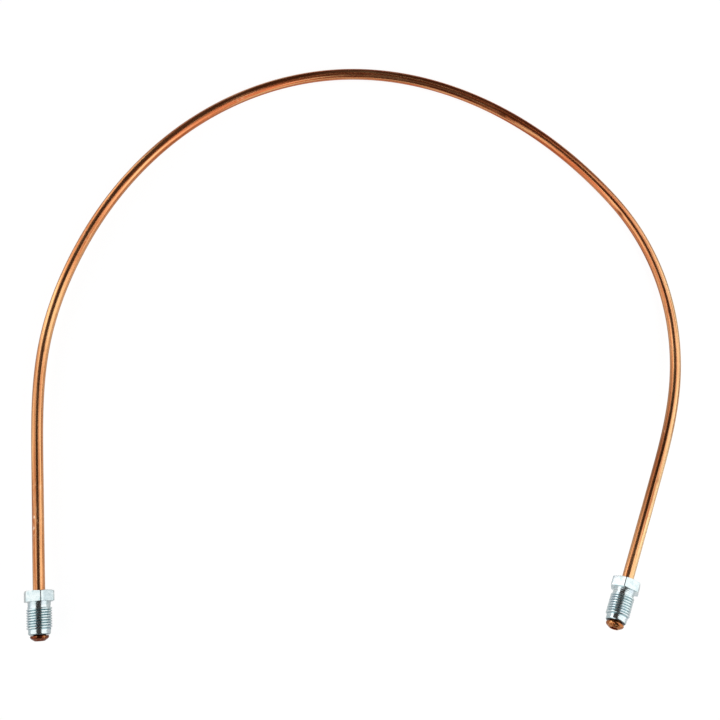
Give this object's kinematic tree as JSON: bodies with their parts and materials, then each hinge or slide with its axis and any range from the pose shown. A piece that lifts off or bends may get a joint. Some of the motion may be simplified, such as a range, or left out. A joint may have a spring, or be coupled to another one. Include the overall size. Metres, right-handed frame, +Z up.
{
  "type": "brake line",
  "caption": "Hard copper brake pipe bent to an open hoop, with a bubble flare and a loose zinc-plated male tube nut on each end, for carrying hydraulic brake pressure.",
  "frame": {"origin": "middle of the footprint, on the ground that the line lies on", "axes": "+X across the hoop to the right, +Y from the open end towards the crown, +Z up out of the hoop's face"},
  "size_m": [0.2824, 0.2552, 0.0241],
  "materials": {
    "copper_pipe": "bright drawn copper, lightly tarnished",
    "zinc_plated_steel": "bright bluish zinc plating"
  },
  "bodies": {
    "pipe": {"brake_pipe": "copper_pipe"},
    "left_nut": {"tube_nut_left": "zinc_plated_steel"},
    "right_nut": {"tube_nut_right": "zinc_plated_steel"}
  },
  "joints": [
    {"name": "left_nut_spin", "type": "hinge", "parent": "pipe", "child": "left_nut", "pos_m": [-0.13506, -0.10397, 0.00622], "axis": [0, 1, -0.0093], "continuous": true},
    {"name": "right_nut_spin", "type": "hinge", "parent": "pipe", "child": "right_nut", "pos_m": [0.09561, -0.11635, 0.01857], "axis": [0.4286, 0.8935, -0.134], "continuous": true}
  ]
}
